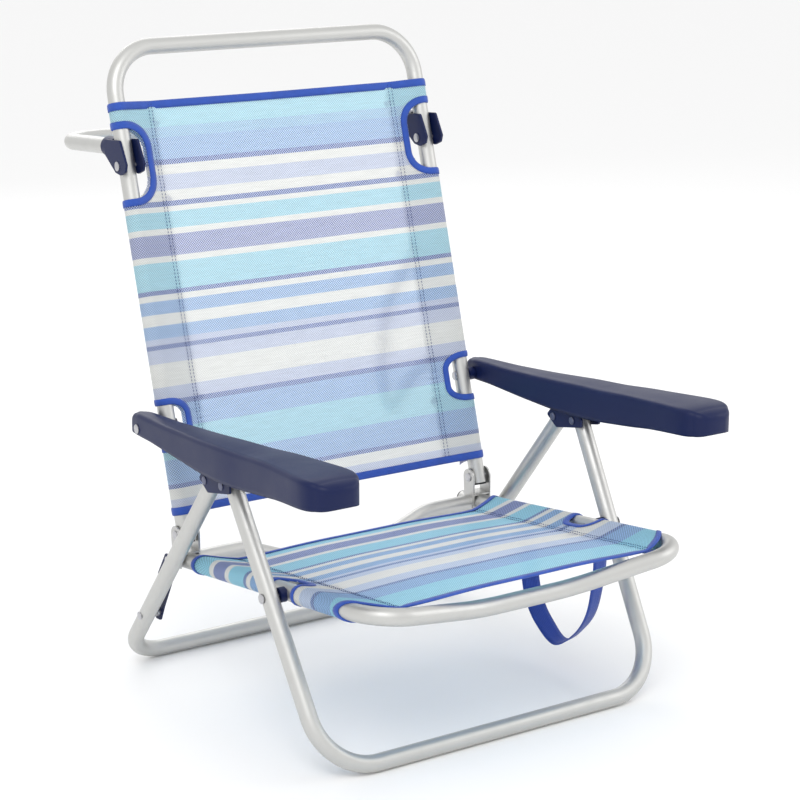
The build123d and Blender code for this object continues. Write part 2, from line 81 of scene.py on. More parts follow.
# --- node helpers ------------------------------------------------------------
class Mat:
    def __init__(self, name):
        self.mat = bpy.data.materials.new(name)
        self.mat.use_nodes = True
        self.nt = self.mat.node_tree
        self.nt.nodes.clear()
        self.out = self.nt.nodes.new("ShaderNodeOutputMaterial")
        self.bsdf = self.nt.nodes.new("ShaderNodeBsdfPrincipled")
        self.nt.links.new(self.bsdf.outputs[0], self.out.inputs[0])

    def node(self, kind, **values):
        n = self.nt.nodes.new(kind)
        for k, v in values.items():
            if k in n.inputs:
                n.inputs[k].default_value = v
            else:
                setattr(n, k, v)
        return n

    def link(self, a, b):
        self.nt.links.new(a, b)

    def coords(self, kind="Object"):
        return self.node("ShaderNodeTexCoord").outputs[kind]

    def noise(self, vec, scale, detail=3.0, rough=0.5):
        n = self.node("ShaderNodeTexNoise")
        n.inputs["Scale"].default_value = scale
        n.inputs["Detail"].default_value = detail
        n.inputs["Roughness"].default_value = rough
        self.link(vec, n.inputs["Vector"])
        return n.outputs["Fac"]

    def span(self, value, a, b, c, d):
        m = self.node("ShaderNodeMapRange")
        for i, v in enumerate((a, b, c, d)):
            m.inputs[i + 1].default_value = v
        self.link(value, m.inputs[0])
        return m.outputs[0]

    def math(self, op, a, b=None):
        m = self.node("ShaderNodeMath")
        m.operation = op
        for i, v in enumerate((a, b)):
            if v is None:
                continue
            if isinstance(v, (int, float)):
                m.inputs[i].default_value = v
            else:
                self.link(v, m.inputs[i])
        return m.outputs[0]

    def bump(self, height, strength, distance):
        b = self.node("ShaderNodeBump")
        b.inputs["Strength"].default_value = strength
        b.inputs["Distance"].default_value = distance
        self.link(height, b.inputs["Height"])
        return b.outputs[0]

    def scaled(self, vec, sx, sy, sz):
        m = self.node("ShaderNodeMapping")
        m.inputs["Scale"].default_value = (sx, sy, sz)
        self.link(vec, m.inputs["Vector"])
        return m.outputs[0]


def metal(name, color, rough, streak=(400, 400, 400)):
    """Brushed or satin metal, with fine streaks and broad wear in the roughness."""
    m = Mat(name)
    vec = m.coords()
    fine = m.noise(m.scaled(vec, *streak), 1.0, 4.0, 0.6)
    wear = m.noise(vec, 9.0, 4.0, 0.6)
    m.bsdf.inputs["Base Color"].default_value = (*color, 1)
    m.bsdf.inputs["Metallic"].default_value = 1.0
    mixed = m.math("ADD", m.span(fine, 0.3, 0.7, rough - 0.05, rough + 0.05),
                   m.span(wear, 0.3, 0.7, -0.03, 0.04))
    m.link(mixed, m.bsdf.inputs["Roughness"])
    m.link(m.bump(fine, 0.12, 0.0002), m.bsdf.inputs["Normal"])
    return m.mat


def plastic(name, color, rough, grain=900.0):
    """Moulded plastic with a fine grain and a slow drift in colour and roughness."""
    m = Mat(name)
    vec = m.coords()
    fine = m.noise(vec, grain, 3.0, 0.6)
    broad = m.noise(vec, 14.0, 4.0, 0.6)
    ramp = m.node("ShaderNodeMix")
    ramp.data_type = "RGBA"
    ramp.inputs[6].default_value = (*[c * 0.9 for c in color], 1)
    ramp.inputs[7].default_value = (*[c * 1.12 for c in color], 1)
    m.link(broad, ramp.inputs[0])
    m.link(ramp.outputs[2], m.bsdf.inputs["Base Color"])
    m.link(m.span(broad, 0.3, 0.7, rough - 0.05, rough + 0.05), m.bsdf.inputs["Roughness"])
    m.bsdf.inputs["Specular IOR Level"].default_value = 0.26
    m.link(m.bump(fine, 0.25, 0.00015), m.bsdf.inputs["Normal"])
    return m.mat


def webbing(name, color, pitch=0.0016, rough=0.75):
    """Narrow woven tape: ribs across, herringbone along."""
    m = Mat(name)
    uv = m.coords("UV")
    sep = m.node("ShaderNodeSeparateXYZ")
    m.link(uv, sep.inputs[0])
    u, v = sep.outputs[0], sep.outputs[1]
    k = 2 * math.pi / pitch
    zig = m.math("PINGPONG", u, 0.0035)
    rib = m.math("SINE", m.math("MULTIPLY", m.math("ADD", v, zig), k))
    warp = m.math("SINE", m.math("MULTIPLY", u, k * 0.8))
    weave = m.math("MULTIPLY", m.math("ADD", rib, warp), 0.5)
    tone = m.span(weave, -1.0, 1.0, 0.72, 1.12)
    dust = m.span(m.noise(m.coords(), 60.0, 4.0, 0.6), 0.3, 0.7, 0.9, 1.08)
    mix = m.node("ShaderNodeVectorMath")
    mix.operation = "SCALE"
    mix.inputs[0].default_value = color
    m.link(m.math("MULTIPLY", tone, dust), mix.inputs["Scale"])
    m.link(mix.outputs[0], m.bsdf.inputs["Base Color"])
    m.bsdf.inputs["Roughness"].default_value = rough
    m.bsdf.inputs["Sheen Weight"].default_value = 0.2
    m.link(m.bump(weave, 0.5, 0.0003), m.bsdf.inputs["Normal"])
    return m.mat


MESH_PITCH = 0.0035             # one cell of the open weave


def mesh_cloth(name, see_through=0.17, glow=0.28):
    """Coarse two-tone woven mesh. The stripe colours come from the colour attribute."""
    m = Mat(name)
    uv = m.coords("UV")
    sep = m.node("ShaderNodeSeparateXYZ")
    m.link(uv, sep.inputs[0])
    u, v = sep.outputs[0], sep.outputs[1]
    k = 2 * math.pi / MESH_PITCH
    a = m.math("SINE", m.math("MULTIPLY", u, k))
    b = m.math("SINE", m.math("MULTIPLY", v, k))
    weave = m.math("MULTIPLY", a, b)
    att = m.node("ShaderNodeVertexColor")
    att.layer_name = "stripe"
    hole = m.node("ShaderNodeVertexColor")
    hole.layer_name = "weave"
    hsep = m.node("ShaderNodeSeparateColor")
    m.link(hole.outputs[0], hsep.inputs[0])
    depth = hsep.outputs[0]
    drift = m.span(m.noise(m.scaled(uv, 30, 400, 1), 1.0, 3.0, 0.6), 0.3, 0.7, -0.05, 0.05)
    contrast = m.math("ADD", m.math("MULTIPLY", depth, 3.1), 0.12)
    dots = m.math("MULTIPLY", m.span(weave, -0.3, 0.3, 1.0, -1.0), contrast)
    tone = m.math("SUBTRACT", m.math("ADD", 1.02, drift), dots)
    dim = m.node("ShaderNodeVectorMath")
    dim.operation = "SCALE"
    m.link(att.outputs[0], dim.inputs[0])
    m.link(tone, dim.inputs["Scale"])
    m.link(dim.outputs[0], m.bsdf.inputs["Base Color"])
    m.bsdf.inputs["Roughness"].default_value = 0.62
    m.bsdf.inputs["Specular IOR Level"].default_value = 0.25
    m.link(m.bump(weave, 0.35, 0.0004), m.bsdf.inputs["Normal"])
    trans = m.node("ShaderNodeBsdfTranslucent")
    m.link(dim.outputs[0], trans.inputs[0])
    mix1 = m.node("ShaderNodeMixShader")
    mix1.inputs[0].default_value = glow
    m.link(m.bsdf.outputs[0], mix1.inputs[1])
    m.link(trans.outputs[0], mix1.inputs[2])
    clear = m.node("ShaderNodeBsdfTransparent")
    mix2 = m.node("ShaderNodeMixShader")
    m.link(m.span(weave, -1.0, 1.0, see_through * 0.4, see_through * 1.6), mix2.inputs[0])
    m.link(mix1.outputs[0], mix2.inputs[1])
    m.link(clear.outputs[0], mix2.inputs[2])
    m.link(mix2.outputs[0], m.out.inputs[0])
    return m.mat


M_TUBE = metal("aluminium_satin", (0.58, 0.58, 0.565), 0.47, streak=(60, 60, 60))
M_BRACKET = metal("bracket_sheet", (0.52, 0.52, 0.51), 0.38)
M_RIVET = metal("rivet_bright", (0.5, 0.5, 0.52), 0.36)
M_RIVET_DULL = metal("rivet_dull", (0.16, 0.17, 0.24), 0.45)
M_NAVY = plastic("navy_moulded", srgb(10, 24, 68), 0.42)
M_NAVY_DARK = plastic("navy_rib", srgb(12, 18, 60), 0.45)
M_BLACK = plastic("black_plug", srgb(28, 28, 32), 0.5)
M_TAPE = webbing("royal_binding", srgb(34, 78, 176), 0.0014)
M_STRAP = webbing("royal_webbing", srgb(30, 68, 164), 0.0018)
M_CLOTH = mesh_cloth("striped_mesh")
M_THREAD = plastic("navy_thread", srgb(42, 62, 120), 0.7, grain=3000.0)

SLOT_MATS = {
    "aluminium_tube": M_TUBE,
    "bracket_metal": M_BRACKET,
    "rivet_metal": M_RIVET,
    "black_plastic": M_BLACK,
    "navy_plastic": M_NAVY,
    "blue_webbing": M_STRAP,
    "striped_fabric": M_CLOTH,
}
for part in frame["record"]["subparts"]:
    obj = frame["nodes"].get(part["node"])
    if obj is None:
        continue
    mat = SLOT_MATS[part["material_slot"]]
    obj.data.materials.clear()
    obj.data.materials.append(mat)
for name in ("armrest_rack_left", "armrest_rack_right"):
    frame["nodes"][name].data.materials[0] = M_NAVY_DARK
for name in ("front_top_rivets", "rear_top_rivets", "rack_pins"):
    frame["nodes"][name].data.materials[0] = M_RIVET_DULL


# --- mesh helpers ------------------------------------------------------------
def new_object(name, verts, faces, mat):
    me = bpy.data.meshes.new(name)
    me.from_pydata([tuple(v) for v in verts], [], faces)
    me.validate()
    me.update()
    for p in me.polygons:
        p.use_smooth = True
    ob = bpy.data.objects.new(name, me)
    bpy.context.scene.collection.objects.link(ob)
    me.materials.append(mat)
    return ob


def apply_mods(ob):
    deps = bpy.context.evaluated_depsgraph_get()
    me = bpy.data.meshes.new_from_object(ob.evaluated_get(deps))
    ob.modifiers.clear()
    ob.data = me


def thicken(ob, t, offset=0.0):
    mod = ob.modifiers.new("t", "SOLIDIFY")
    mod.thickness = t
    mod.offset = offset
    mod.use_rim = True
    apply_mods(ob)


def uv_mesh(name, verts, faces, uvs, mat):
    """Object from four-cornered faces, with a UV in metres for each corner."""
    me = bpy.data.meshes.new(name)
    me.from_pydata([tuple(v) for v in verts], [], faces)
    layer = me.uv_layers.new(name="UVMap")
    for k, uv in enumerate(c for corners in uvs for c in corners):
        layer.data[k].uv = uv
    for p in me.polygons:
        p.use_smooth = True
    me.materials.append(mat)
    me.update()
    ob = bpy.data.objects.new(name, me)
    bpy.context.scene.collection.objects.link(ob)
    return ob


def grid_sheet(name, us, vs, place, keep, stripes):
    """Sheet over a grid of (u, v) lines, with UVs in metres and stripe colours by v."""
    index = {}
    verts, faces, uvs, cols, depths = [], [], [], [], []

    def vert(i, j):
        key = (i, j)
        if key not in index:
            index[key] = len(verts)
            verts.append(place(us[i], vs[j]))
        return index[key]

    for j in range(len(vs) - 1):
        for i in range(len(us) - 1):
            uc, vc = (us[i] + us[i + 1]) / 2, (vs[j] + vs[j + 1]) / 2
            if not keep(uc, vc):
                continue
            faces.append((vert(i, j), vert(i + 1, j), vert(i + 1, j + 1), vert(i, j + 1)))
            uvs.append([(us[i], vs[j]), (us[i + 1], vs[j]), (us[i + 1], vs[j + 1]), (us[i], vs[j + 1])])
            col, depth = stripe_color(stripes, vc)
            # painted shade: the stripe colour is deepened over the doubled sleeve, where less light comes
            # through
            if abs(uc) > STITCH:
                col = [c ** DOUBLE_LAYER_SHADE for c in col]
            cols.append(col)
            depths.append(depth)
    ob = uv_mesh(name, verts, faces, uvs, M_CLOTH)
    ob.data.color_attributes.new("stripe", "FLOAT_COLOR", "CORNER")
    ob.data.color_attributes.new("weave", "FLOAT_COLOR", "CORNER")
    stripe = ob.data.color_attributes["stripe"]
    weave = ob.data.color_attributes["weave"]
    for k in range(4 * len(faces)):
        stripe.data[k].color = (*cols[k // 4], 1)
        weave.data[k].color = (depths[k // 4],) * 3 + (1,)
    ob.data.update()
    return ob


DOUBLE_LAYER_SHADE = 1.15             # power that deepens a colour where the sleeve lies behind the panel: painted shade for the light lost through the two layers

AQUA = srgb(190, 222, 232)
BLUE = srgb(184, 204, 228)
WHITE = srgb(233, 234, 232)
LAV = srgb(210, 216, 230)
PURPLE = srgb(184, 190, 214)
DARK = srgb(166, 176, 206)
TINT = srgb(188, 212, 230)
SEAT_AQUA = srgb(170, 218, 234)
SEAT_BLUE = srgb(164, 194, 226)
SEAT_LAV = srgb(204, 216, 234)
SEAT_PURPLE = srgb(156, 168, 206)
SEAT_DARK = srgb(150, 168, 204)

# (lower edge in mm above the hinge, colour, depth of the dark dots)
BACK_STRIPES = [
    (0, LAV, 0.05), (46, WHITE, 0.02), (60, DARK, 0.25), (66, BLUE, 0.12), (98, AQUA, 0.06),
    (139, BLUE, 0.12), (169, DARK, 0.22), (176, LAV, 0.05), (193, WHITE, 0.02), (224, LAV, 0.05),
    (242, DARK, 0.22), (248, LAV, 0.06), (256, BLUE, 0.12), (273, WHITE, 0.02), (288, BLUE, 0.12),
    (305, WHITE, 0.02), (313, DARK, 0.22), (319, AQUA, 0.06), (355, WHITE, 0.02), (363, PURPLE, 0.15),
    (391, WHITE, 0.02), (399, AQUA, 0.06), (421, WHITE, 0.02), (428, DARK, 0.22), (435, WHITE, 0.02),
    (449, LAV, 0.06), (470, WHITE, 0.02), (483, DARK, 0.24), (490, BLUE, 0.13), (519, TINT, 0.10),
    (533, AQUA, 0.06),
]
# (front edge in mm behind the front floor bar, colour, depth of the dark dots)
SEAT_STRIPES = [
    (-100, SEAT_AQUA, 0.06), (6, SEAT_BLUE, 0.12), (42, SEAT_DARK, 0.24), (50, SEAT_LAV, 0.05),
    (76, WHITE, 0.02), (107, SEAT_LAV, 0.05), (122, SEAT_DARK, 0.24), (130, SEAT_LAV, 0.06),
    (138, SEAT_BLUE, 0.12), (157, WHITE, 0.02), (175, SEAT_BLUE, 0.12), (193, WHITE, 0.02),
    (203, SEAT_DARK, 0.24), (210, SEAT_AQUA, 0.06), (247, WHITE, 0.02), (257, SEAT_PURPLE, 0.15),
    (286, WHITE, 0.02), (297, SEAT_AQUA, 0.06),
]


def stripe_color(stripes, v):
    mm = v * 1000.0
    for edge, col, depth in reversed(stripes):
        if mm >= edge:
            return col, depth
    return stripes[0][1], stripes[0][2]


def lines(a, b, step, fixed):
    """Sorted grid lines from a to b no further apart than step, through the fixed ones."""
    marks = sorted(set([round(a, 6), round(b, 6)] + [round(f, 6) for f in fixed if a < f < b]))
    out = []
    for p, q in zip(marks, marks[1:]):
        n = max(1, math.ceil((q - p) / step - 1e-9))
        out += [p + (q - p) * i / n for i in range(n)]
    return out + [marks[-1]]


# --- sleeve cross-section ------------------------------------------------------
def sleeve_section(stitch, tube_x, r):
    """Half section of the sling: (s, x, off) from the middle out and round the tube, back to the stitch."""
    run = tube_x - stitch
    a = math.asin(r / run)
    tang = run * math.cos(a)
    pts = [(stitch, stitch, 0.0)]
    pts.append((stitch + tang, stitch + tang * math.cos(a), -tang * math.sin(a)))
    start = -math.pi / 2 - a
    sweep = math.pi + 2 * a
    n = 14
    for i in range(1, n + 1):
        t = start + sweep * i / n
        pts.append((stitch + tang + r * sweep * i / n, tube_x + r * math.cos(t), r * math.sin(t)))
    s2 = stitch + tang + r * sweep
    pts.append((s2 + tang * 0.93, stitch + 0.003, 0.0016))
    pts.append((s2 + tang + 0.006, stitch - 0.006, 0.0016))
    return pts


def section_at(pts, s):
    for (s0, x0, o0), (s1, x1, o1) in zip(pts, pts[1:]):
        if s <= s1 + 1e-9:
            t = (s - s0) / (s1 - s0) if s1 > s0 else 0
            return x0 + (x1 - x0) * t, o0 + (o1 - o0) * t
    return pts[-1][1], pts[-1][2]


STITCH = 0.188                  # seam of the sleeve, from the middle
CLOTH_R = 0.0118                # radius of the sleeve round a tube
CLOTH_T = 0.0007
SECTION = sleeve_section(STITCH, BACK_X, CLOTH_R)
SECTION_SEAT = sleeve_section(STITCH, RAIL_X, CLOTH_R)
S_END = SECTION[-1][0]
BACK_D0, BACK_D1 = 0.026, 0.5675     # lower and upper edge above the hinge
CUT_LOW = (0.116, 0.171)             # round the armrest pivots
CUT_HIGH = (0.4405, 0.535)           # round the prop clevises
CUT_LOW_REACH, CUT_HIGH_REACH = 0.026, 0.030
SEAT_Y0, SEAT_Y1 = -0.060, 0.320     # front and rear edge
SEAT_CUT = (0.096, 0.146)            # round the front leg pivots
SEAT_CUT_REACH = 0.024


def tube_s(section, x_target):
    """Arc position where the front of the section reaches x."""
    for (s0, x0, o0), (s1, x1, o1) in zip(section, section[1:]):
        if x0 <= x_target <= x1:
            return s0 + (s1 - s0) * (x_target - x0) / (x1 - x0)
    return section[-1][0]


def cut_depth(v, low, high, reach):
    """How far a D-shaped cut-out reaches inwards at v, 0 outside it."""
    mid, half = (low + high) / 2, (high - low) / 2
    t = abs(v - mid) / half
    if t >= 1:
        return 0.0
    flat = max(0.0, (t - 0.35) / 0.65)
    return reach * math.sqrt(max(0.0, 1 - flat ** 2.4))


# --- back sling --------------------------------------------------------------
def sag(x, limit):
    """Cosine hollow, 1 in the middle and 0 from the limit outwards."""
    t = min(1.0, abs(x) / limit)
    return 0.5 * (1 + math.cos(math.pi * t))


def pucker(s, v):
    """Small pulls beside the stitch lines."""
    near = math.exp(-(((abs(s) - STITCH) / 0.012) ** 2))
    return 0.0005 * near * math.sin(v * 520 + 3 * math.sin(v * 90))


def place_back(s, v):
    x, off = section_at(SECTION, abs(s)) if abs(s) > STITCH else (abs(s), 0.0)
    off += 0.004 * sag(x, 0.19) + pucker(s, v)
    return back_at(math.copysign(x, s), v, off)


def outside_cut(section, tube_x, cut, reach, s, v):
    """Whether the cloth at (s, v) stays beside a cut-out round the tube."""
    depth = cut_depth(v, cut[0], cut[1], reach)
    if depth <= 0:
        return True
    front = tube_s(section, tube_x - depth + 0.0005)
    return not front < abs(s) < S_END - (front - STITCH) - 0.006


def keep_back(s, v):
    return (outside_cut(SECTION, BACK_X, CUT_LOW, CUT_LOW_REACH, s, v)
            and outside_cut(SECTION, BACK_X, CUT_HIGH, CUT_HIGH_REACH, s, v))


def section_lines(section):
    """Grid lines across a sling, finer at the seams and over the tubes."""
    marks = [s for s, _, _ in section]
    front = marks[1]
    inner = [STITCH - 0.012, STITCH - 0.006, STITCH, STITCH + 0.004]
    extra = [STITCH + (front - STITCH) * i / 14 for i in range(15)]
    tail = [marks[-3] + (marks[-2] - marks[-3]) * i / 36 for i in range(37)]
    side_marks = sorted(set(round(m, 5) for m in marks + extra + inner + tail))
    full = lines(-STITCH, STITCH, 0.02, inner + [-m for m in inner])
    return sorted(set([round(m, 5) for m in full] + side_marks + [-m for m in side_marks]))


def row_lines(start, end, stripes, cuts, steps):
    """Grid lines along a sling: on every stripe edge, and finer beside each cut-out."""
    fixed = [e / 1000 for e, _, _ in stripes] + [v for cut in cuts for v in cut]
    rows = lines(start, end, 0.008, fixed)
    for low, high in cuts:
        rows += [low + (high - low) * i / steps for i in range(steps + 1)]
    return sorted(set(round(v, 6) for v in rows))


back_rows = row_lines(BACK_D0, BACK_D1, BACK_STRIPES, (CUT_LOW, CUT_HIGH), 60)
back_cloth = grid_sheet("back_sling", section_lines(SECTION), back_rows, place_back, keep_back, BACK_STRIPES)
thicken(back_cloth, CLOTH_T)
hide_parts("back_fabric", "back_sleeves")
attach(back_cloth, "back")


# --- seat sling --------------------------------------------------------------
SEAT_LIFT = 0.0052


def place_seat(s, v):
    x, off = section_at(SECTION_SEAT, abs(s)) if abs(s) > STITCH else (abs(s), 0.0)
    lift = SEAT_LIFT * sag(max(0.0, x - 0.05), 0.18)
    up = -off + lift - 0.0008 * sag(x, 0.19) + pucker(s, v)
    y = v
    if v > 0.30:
        y += (0.018 * (abs(x) / 0.234) ** 6) * (v - 0.30) / 0.02
    if v < 0.0:
        y += (0.034 * (abs(x) / 0.234) ** 8) * v / SEAT_Y0
    return seat_at(math.copysign(x, s), y, up)


def keep_seat(s, v):
    return outside_cut(SECTION_SEAT, RAIL_X, SEAT_CUT, SEAT_CUT_REACH, s, v)


seat_rows = row_lines(SEAT_Y0, SEAT_Y1, SEAT_STRIPES, (SEAT_CUT,), 32)
seat_cloth = grid_sheet("seat_sling", section_lines(SECTION_SEAT), seat_rows, place_seat, keep_seat,
                        SEAT_STRIPES)
thicken(seat_cloth, CLOTH_T)
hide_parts("seat_fabric", "seat_sleeves")
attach(seat_cloth, "seat")


# --- binding tape ----------------------------------------------------------------
TAPE_T = 0.0006
TAPE_GAP = 0.0012               # cloth's middle to the tape's face


def ribbon_mesh(name, rows, mat, thickness):
    """Strip through rows of points; every row has the same number of points."""
    verts, faces, uvs = [], [], []
    width = len(rows[0])
    for row in rows:
        verts += row
    run = [0.0]
    for a, b in zip(rows, rows[1:]):
        run.append(run[-1] + (b[width // 2] - a[width // 2]).length)
    cross = [0.0]
    for a, b in zip(rows[0], rows[0][1:]):
        cross.append(cross[-1] + (b - a).length)
    for j in range(len(rows) - 1):
        for i in range(width - 1):
            a = j * width + i
            faces.append((a, a + 1, a + width + 1, a + width))
            uvs.append([(cross[i], run[j]), (cross[i + 1], run[j]),
                        (cross[i + 1], run[j + 1]), (cross[i], run[j + 1])])
    ob = uv_mesh(name, verts, faces, uvs, mat)
    thicken(ob, thickness)
    return ob


def edge_tape(name, centre, inward, normal, width, body):
    """Tape folded over a cloth edge: points of the edge, with inward and normal directions."""
    rows = []
    g = TAPE_GAP
    for c, i, n in zip(centre, inward, normal):
        rows.append([
            c + i * width + n * g, c + i * width * 0.5 + n * (g * 1.15), c + i * 0.0008 + n * g,
            c - i * 0.0009 + n * g * 0.4, c - i * 0.0009 - n * g * 0.4, c + i * 0.0008 - n * g,
            c + i * width * 0.5 - n * (g * 1.15), c + i * width - n * g,
        ])
    ob = ribbon_mesh(name, rows, M_TAPE, TAPE_T)
    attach(ob, body)


def cloth_frame(place, s, v, d=0.0015):
    """Point on a sling with its directions across, along and square to the cloth."""
    p = place(s, v)
    du = (place(s + d, v) - place(s - d, v)).normalized()
    dw = (place(s, v + d) - place(s, v - d)).normalized()
    return p, du, dw, du.cross(dw).normalized()


def straight_tape(name, place, v, way, width, body):
    """Tape along a cross edge of a sling at row v; way is +1 when the cloth lies at larger v."""
    c, i, n = [], [], []
    reach = S_END - 0.002
    for k in range(161):
        s = -reach + 2 * reach * k / 160
        p, _, dw, nrm = cloth_frame(place, s, v)
        c.append(p)
        i.append(dw * way)
        n.append(nrm)
    edge_tape(name, c, i, n, width, body)


straight_tape("back_binding_top", place_back, BACK_D1, -1, 0.0095, "back")
straight_tape("back_binding_low", place_back, BACK_D0, 1, 0.0095, "back")
straight_tape("seat_binding_rear", place_seat, SEAT_Y1, -1, 0.0085, "seat")
straight_tape("seat_binding_front", place_seat, SEAT_Y0, 1, 0.0085, "seat")


def cut_tape(name, place, section, tube_x, cut, reach, sgn, body, width):
    """Tape round a D-shaped cut-out: one run on the front edge, one on the rear edge."""
    low, high = cut
    mid_s = (section[1][0] + section[-2][0]) / 2
    mid_v = (low + high) / 2
    n = 40
    front = []
    for k in range(n + 1):
        t = -1 + 2 * k / n
        t = math.copysign(1 - (1 - abs(t)) ** 1.6, t)
        v = mid_v + (high - low) / 2 * t
        front.append((min(tube_s(section, tube_x - cut_depth(v, low, high, reach)), mid_s), v))
    rear = [(2 * mid_s - s, v) for s, v in front]
    for edge, end in ((front, "_front"), (rear, "_rear")):
        first, last = edge[0][0], edge[-1][0]
        path = [(mid_s, low)] + [(mid_s + (first - mid_s) * q / 8, low) for q in range(1, 8)] + edge
        path += [(last + (mid_s - last) * q / 8, high) for q in range(1, 9)]
        frames = [cloth_frame(place, sgn * s, v) for s, v in path]
        c, i, nn = [], [], []
        for k, ((s, v), (p, du, dw, nrm)) in enumerate(zip(path, frames)):
            along = frames[min(len(frames) - 1, k + 1)][0] - frames[max(0, k - 1)][0]
            along = along.normalized() if along.length > 1e-9 else dw
            inward = nrm.cross(along).normalized()
            outward_hint = du * ((s - mid_s) * sgn) + dw * (v - mid_v)
            c.append(p)
            i.append(-inward if inward.dot(outward_hint) < 0 else inward)
            nn.append(nrm)
        edge_tape(name + end, c, i, nn, width, body)


for sgn, tag in ((1, "left"), (-1, "right")):
    cut_tape("back_cut_high_" + tag, place_back, SECTION, BACK_X, CUT_HIGH, CUT_HIGH_REACH, sgn, "back", 0.0085)
    cut_tape("back_cut_low_" + tag, place_back, SECTION, BACK_X, CUT_LOW, CUT_LOW_REACH, sgn, "back", 0.0075)
    cut_tape("seat_cut_" + tag, place_seat, SECTION_SEAT, RAIL_X, SEAT_CUT, SEAT_CUT_REACH, sgn, "seat", 0.0075)


# --- stitching ------------------------------------------------------------------
def stitches(name, points, normals, length, gap, r, mat, body):
    """Row of thread dashes laid along a line of points."""
    verts, faces = [], []
    dashes = []
    total = 0.0
    cum = [0.0]
    for a, b in zip(points, points[1:]):
        total += (b - a).length
        cum.append(total)

    def at(d):
        for q in range(len(cum) - 1):
            if d <= cum[q + 1]:
                t = (d - cum[q]) / max(1e-9, cum[q + 1] - cum[q])
                return points[q].lerp(points[q + 1], t), normals[q].lerp(normals[q + 1], t).normalized()
        return points[-1], normals[-1]

    d = gap
    while d + length < total:
        p0, _ = at(d)
        p1, _ = at(d + length)
        mid, nm = at(d + length / 2)
        dashes.append((p0, mid + nm * r * 0.7, p1, nm))
        d += length + gap
    for p0, pm, p1, nm in dashes:
        way = (p1 - p0).normalized()
        across = nm.cross(way).normalized()
        base = len(verts)
        rise = nm * r * 0.3
        rings = ((p0, 0.35), (p0.lerp(pm, 0.5) + rise, 0.9), (pm, 1.0),
                 (p1.lerp(pm, 0.5) + rise, 0.9), (p1, 0.35))
        for p, share in rings:
            for q in range(6):
                ang = math.pi * 2 * q / 6
                verts.append(p + (across * math.cos(ang) + nm * math.sin(ang)) * r * share)
        for ring in range(4):
            for q in range(6):
                a = base + ring * 6 + q
                b = base + ring * 6 + (q + 1) % 6
                faces.append((a, b, b + 6, a + 6))
        faces.append(tuple(base + q for q in reversed(range(6))))
        faces.append(tuple(base + 24 + q for q in range(6)))
    ob = new_object(name, verts, faces, mat)
    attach(ob, body)


def seam(name, place, s, v0, v1, body, lift):
    """One line of stitches along a sling, on its front face."""
    pts, nms = [], []
    n = 60
    for k in range(n + 1):
        v = v0 + (v1 - v0) * k / n
        p, _, _, nrm = cloth_frame(place, s, v)
        pts.append(p + nrm * lift)
        nms.append(nrm)
    stitches(name, pts, nms, 0.0030, 0.0016, 0.00042, M_THREAD, body)


for sgn, tag in ((1, "left"), (-1, "right")):
    for k, off in enumerate((0.0, 0.0055)):
        s = sgn * (STITCH - 0.001 + off)
        seam("back_seam_%s_%d" % (tag, k), place_back, s, BACK_D0 + 0.002, BACK_D1 - 0.002, "back", 0.0008)
        seam("seat_seam_%s_%d" % (tag, k), place_seat, s, SEAT_Y0 + 0.002, SEAT_Y1 - 0.002, "seat", 0.0008)


# --- straps -------------------------------------------------------------------
STRAP_T = 0.0014


def smooth_path(points, per=10):
    """Catmull-Rom through the points."""
    out = []
    n = len(points)
    for i in range(n - 1):
        p0 = points[max(0, i - 1)]
        p1, p2 = points[i], points[i + 1]
        p3 = points[min(n - 1, i + 2)]
        for k in range(per):
            t = k / per
            out.append(0.5 * ((2 * p1) + (p2 - p0) * t + (2 * p0 - 5 * p1 + 4 * p2 - p3) * t * t
                              + (3 * p1 - p0 - 3 * p2 + p3) * t ** 3))
    out.append(points[-1].copy())
    return out


def strap(name, points, wide_dirs, width, body, node):
    """Flat webbing through the points, with its width along wide_dirs."""
    path = smooth_path(points)
    dirs = smooth_path(wide_dirs)
    rows = []
    for p, w in zip(path, dirs):
        w = w.normalized()
        rows.append([p - w * width / 2, p - w * width / 4, p, p + w * width / 4, p + w * width / 2])
    ob = ribbon_mesh(name, rows, M_STRAP, STRAP_T)
    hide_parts(node)
    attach(ob, body)


# (x in metres, y from the front floor bar and z in mm)
seat_strap_pts = [(0.198, 52, 198), (0.203, 60, 160), (0.206, 76, 104), (0.208, 104, 66), (0.206, 142, 39),
                  (0.204, 176, 58), (0.205, 199, 82), (0.204, 209, 116), (0.198, 210, 182)]
pts = [side(x, y / 1000, z / 1000) for x, y, z in seat_strap_pts]
# (y, z) of the width direction at each point, beside x = 1
seat_strap_twist = [(0.15, 0), (0.2, 0), (0.3, 0), (0.25, 0.15), (0.1, 0.1), (-0.2, 0.2), (-0.35, 0.1),
                    (-0.3, 0), (0, 0)]
wide = [Vector((1, y, z)) for y, z in seat_strap_twist]
strap("seat_carry_strap", pts, wide, 0.025, "seat", "seat_strap")

# (x, distance above the hinge, distance behind the back plane) in mm
back_strap_pts = [(196, 334, 5), (170, 304, 8), (138, 264, 11), (118, 208, 12), (109, 150, 12), (117, 118, 11),
                  (146, 146, 10), (172, 164, 8), (198, 180, 5)]
pts = [back_at(x / 1000, d / 1000, off / 1000) for x, d, off in back_strap_pts]
ax, ad = Vector((1, 0, 0)), (back_at(0, 1.0) - back_at(0, 0.0))
an = ad.cross(ax).normalized()
wide = []
for k in range(len(pts)):
    t = (pts[min(len(pts) - 1, k + 1)] - pts[max(0, k - 1)]).normalized()
    wide.append(an.cross(t).normalized())
turn = wide[4] + wide[6]
wide[5] = turn.normalized() if turn.length > 0.3 else ax
strap("back_carry_strap", pts, wide, 0.018, "back", "back_strap")


